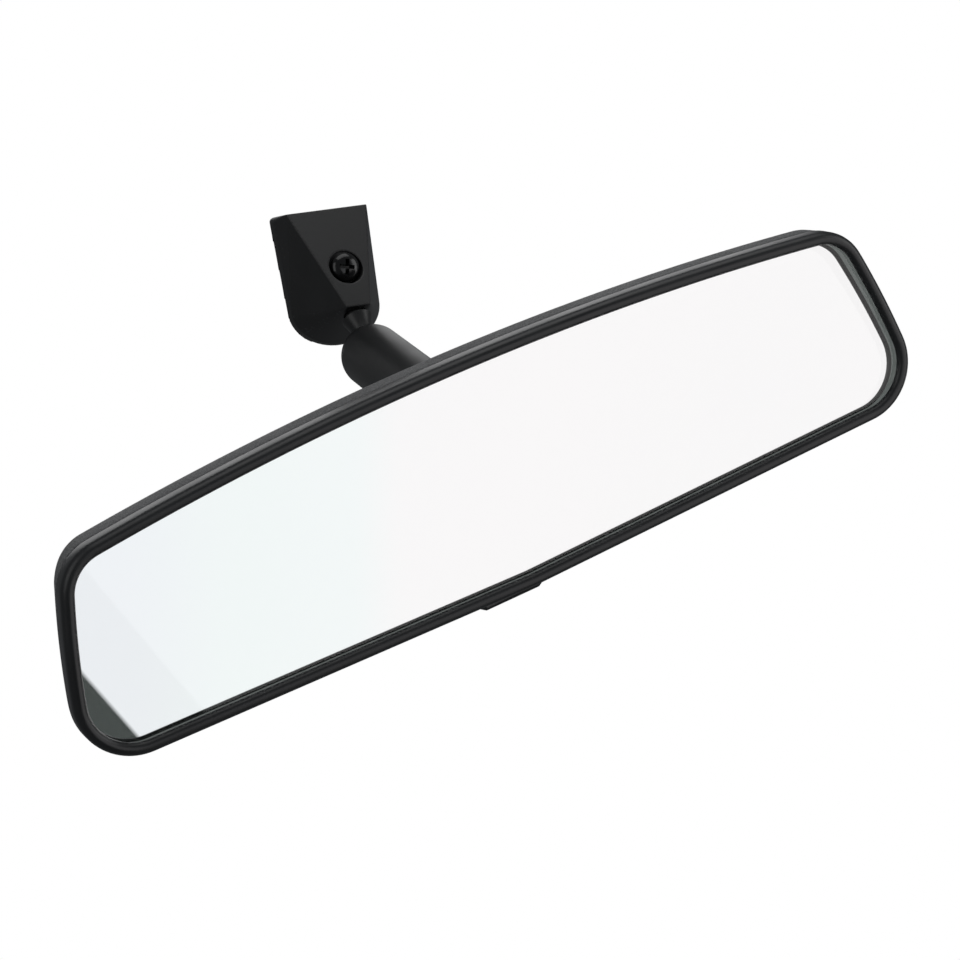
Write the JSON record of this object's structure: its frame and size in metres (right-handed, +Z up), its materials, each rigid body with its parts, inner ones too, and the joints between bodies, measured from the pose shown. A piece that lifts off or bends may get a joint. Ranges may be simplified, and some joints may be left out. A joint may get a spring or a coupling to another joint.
{
  "type": "interior rearview mirror",
  "caption": "Interior car rearview mirror with prismatic day/night glass, black bezel, grained housing, double-ball arm and screw-clamped windshield mount",
  "frame": {"origin": "middle of the lower land of the mount back face, where it rests beside the windshield button", "axes": "+Y into the windshield (outward normal of the seat), +Z up along the mount, +X to the right seen from inside the car; the head is in the pose of the picture, rolled and tilted on its lower ball"},
  "size_m": [0.2484, 0.1111, 0.1393],
  "materials": {
    "cast_black": "satin black enamel on a die casting",
    "tube_black": "satin black enamel",
    "bezel_black": "satin moulded black",
    "grained_grey": "fine spark-eroded grain, dark grey",
    "screw_black": "glossy black oxide",
    "steel": "zinc plated",
    "nylon": "natural nylon",
    "carrier_black": "plain moulded black",
    "prism": "clear polished, faint green",
    "silver": "silvered"
  },
  "bodies": {
    "base": {"mount_base": "cast_black", "button_clamp_plate": "steel", "upper_ball_stud": "cast_black"},
    "screw_washer": {"clamp_screw_washer": "steel"},
    "screw": {"clamp_screw": "screw_black"},
    "upper_seat": {"upper_ball_seat": "nylon"},
    "arm": {"arm_tube": "tube_black", "upper_pressure_cup": "steel", "arm_spring": "steel", "lower_pressure_cup": "steel"},
    "lower_seat": {"lower_ball_seat": "nylon"},
    "lower_stud": {"lower_ball_stud": "steel"},
    "bracket": {"pivot_bracket": "steel", "bracket_pin": "steel", "stud_push_nut": "steel"},
    "head": {"rear_housing": "grained_grey", "bezel": "bezel_black", "prism_glass": "prism", "mirror_coating": "silver", "toggle_carrier": "carrier_black", "carrier_screw_left": "steel", "carrier_screw_right": "steel", "toggle_spring": "steel", "lever_pin": "steel"},
    "lever": {"day_night_lever": "bezel_black"}
  },
  "joints": [
    {"name": "screw_travel", "type": "slide", "parent": "base", "child": "screw_washer", "axis": [0, -1, 0], "range_m": [0, 0.0021]},
    {"name": "screw_turn", "type": "hinge", "parent": "screw_washer", "child": "screw", "pos_m": [0, -0.012, 0.0155], "axis": [0, -1, 0], "range_deg": [0, 1080]},
    {"name": "upper_ball_pitch", "type": "hinge", "parent": "base", "child": "upper_seat", "pos_m": [0, -0.02635, -0.0118], "axis": [1, 0, 0], "range_deg": [-2, 33]},
    {"name": "upper_ball_yaw", "type": "hinge", "parent": "upper_seat", "child": "arm", "pos_m": [0, -0.02635, -0.0118], "axis": [0, 0, 1], "range_deg": [-10, 10]},
    {"name": "lower_ball_pitch", "type": "hinge", "parent": "arm", "child": "lower_seat", "pos_m": [-0.00069, -0.07032, -0.03002], "axis": [0.9728, -0.0553, 0.2251], "range_deg": [-11, 26]},
    {"name": "lower_ball_yaw", "type": "hinge", "parent": "lower_seat", "child": "lower_stud", "pos_m": [-0.00069, -0.07032, -0.03002], "axis": [-0.2317, -0.232, 0.9447], "range_deg": [-18, 18]},
    {"name": "lower_ball_roll", "type": "hinge", "parent": "lower_stud", "child": "bracket", "pos_m": [-0.00069, -0.07032, -0.03002], "axis": [0, 0.9711, 0.2385], "range_deg": [-30, 30]},
    {"name": "day_night_tilt", "type": "hinge", "parent": "bracket", "child": "head", "pos_m": [-0.00266, -0.09094, -0.02657], "axis": [-0.9728, 0.0553, -0.2251], "range_deg": [0, 4.5]},
    {"name": "lever_swing", "type": "hinge", "parent": "head", "child": "lever", "pos_m": [0.00707, -0.08217, -0.06648], "axis": [-0.9728, 0.0553, -0.2251], "range_deg": [0, 24]}
  ],
  "couplings": [
    {"joint": "screw_turn", "follows": "screw_travel", "rad_per_m": 8976},
    {"joint": "lever_swing", "follows": "day_night_tilt", "ratio": 5.3333}
  ]
}
